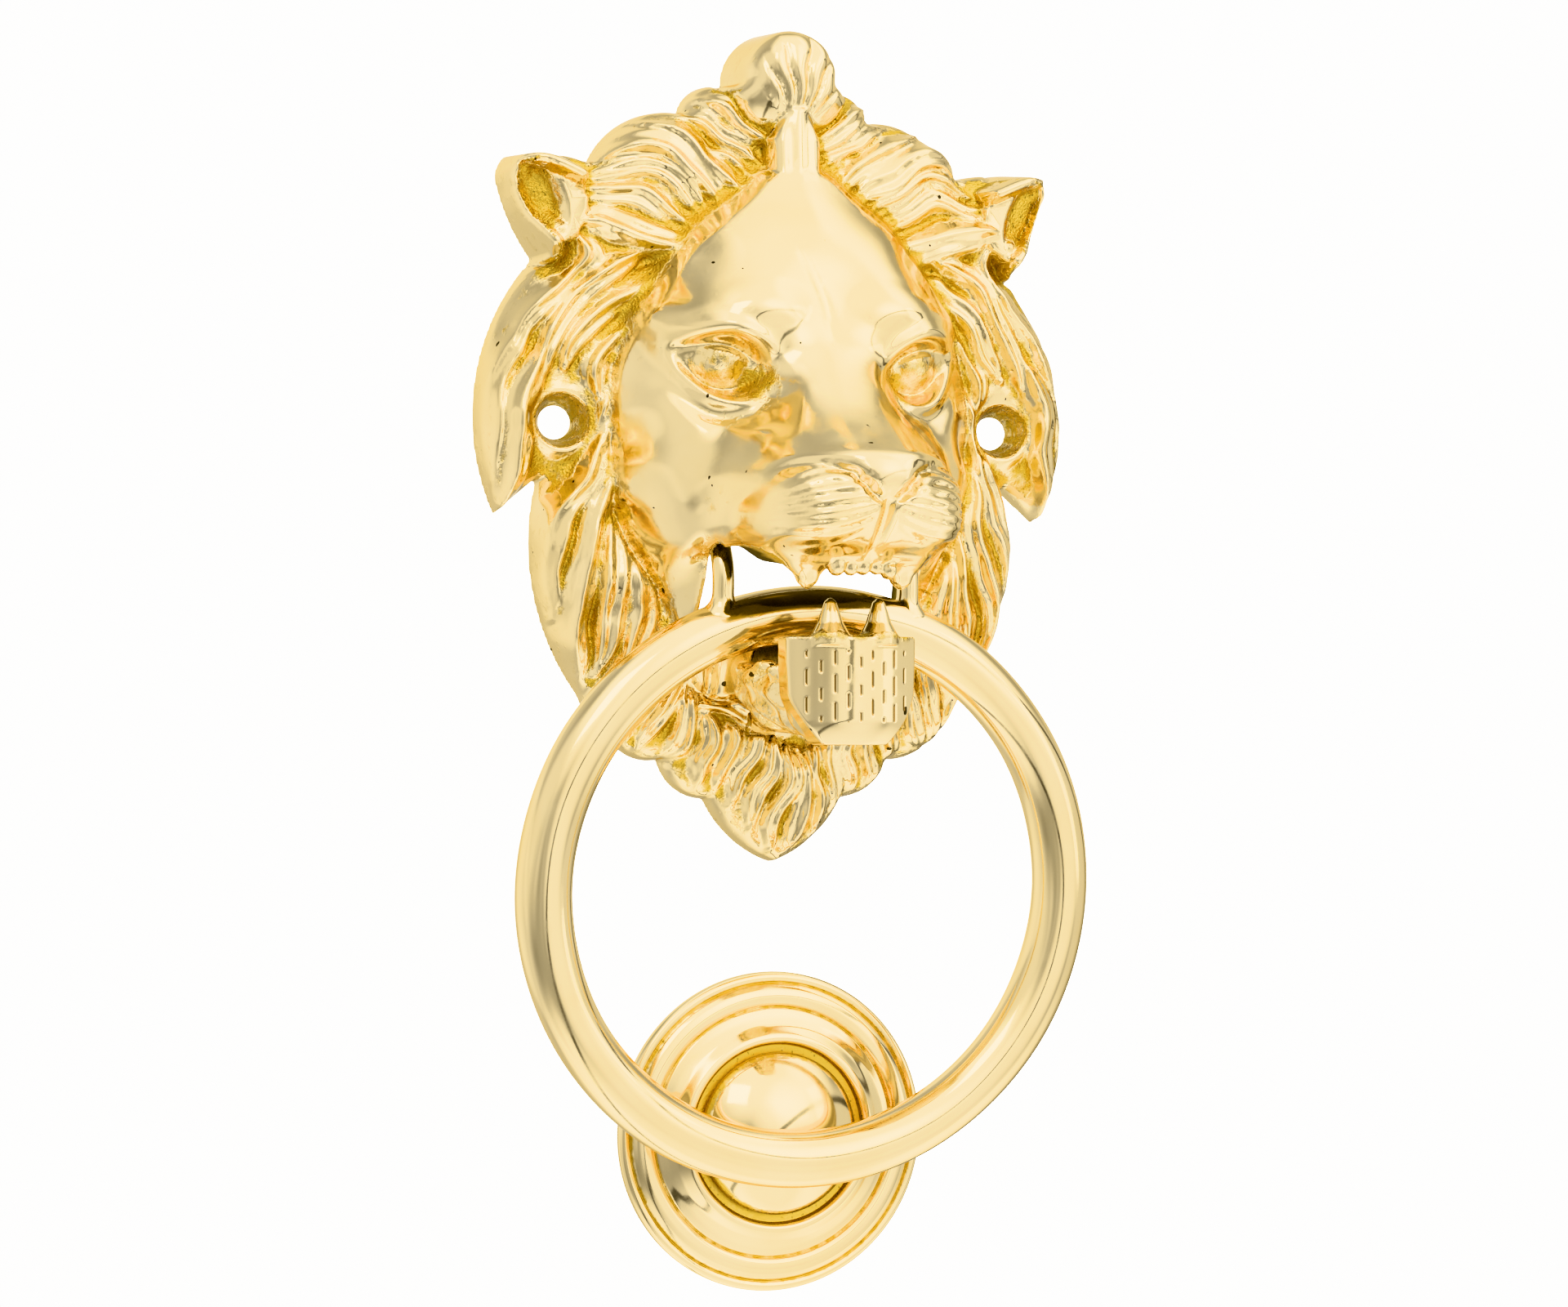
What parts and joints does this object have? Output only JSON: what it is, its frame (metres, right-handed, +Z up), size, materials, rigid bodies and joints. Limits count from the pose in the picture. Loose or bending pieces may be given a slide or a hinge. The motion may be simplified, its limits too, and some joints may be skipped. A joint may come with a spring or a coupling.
{
  "type": "lion head door knocker",
  "caption": "Cast brass lion-head door knocker: a ring swings from a pin in the open mouth and strikes the domed button of a round plate.",
  "frame": {"origin": "on the door's face, midway between the head's two fixing holes", "axes": "+Z up, +X to the right as seen from outside, +Y into the door; the front faces -Y"},
  "size_m": [0.1148, 0.0676, 0.2355],
  "materials": {
    "cast_brass": "polished cast brass, as-cast grain in the recesses",
    "turned_brass": "turned and polished brass",
    "steel_fixing": "plain steel"
  },
  "bodies": {
    "door_side": {"lion_head": "cast_brass", "lower_jaw": "cast_brass", "jaw_screw_left": "steel_fixing", "jaw_screw_right": "steel_fixing", "pivot_pin": "steel_fixing", "strike_rose": "turned_brass", "strike_button": "turned_brass", "button_nut": "turned_brass"},
    "knocker": {"knocker_ring": "cast_brass"}
  },
  "joints": [
    {"name": "ring_swing", "type": "hinge", "parent": "door_side", "child": "knocker", "pos_m": [0, -0.0216, -0.019], "axis": [-1, 0, 0], "range_deg": [0, 17.5]}
  ]
}
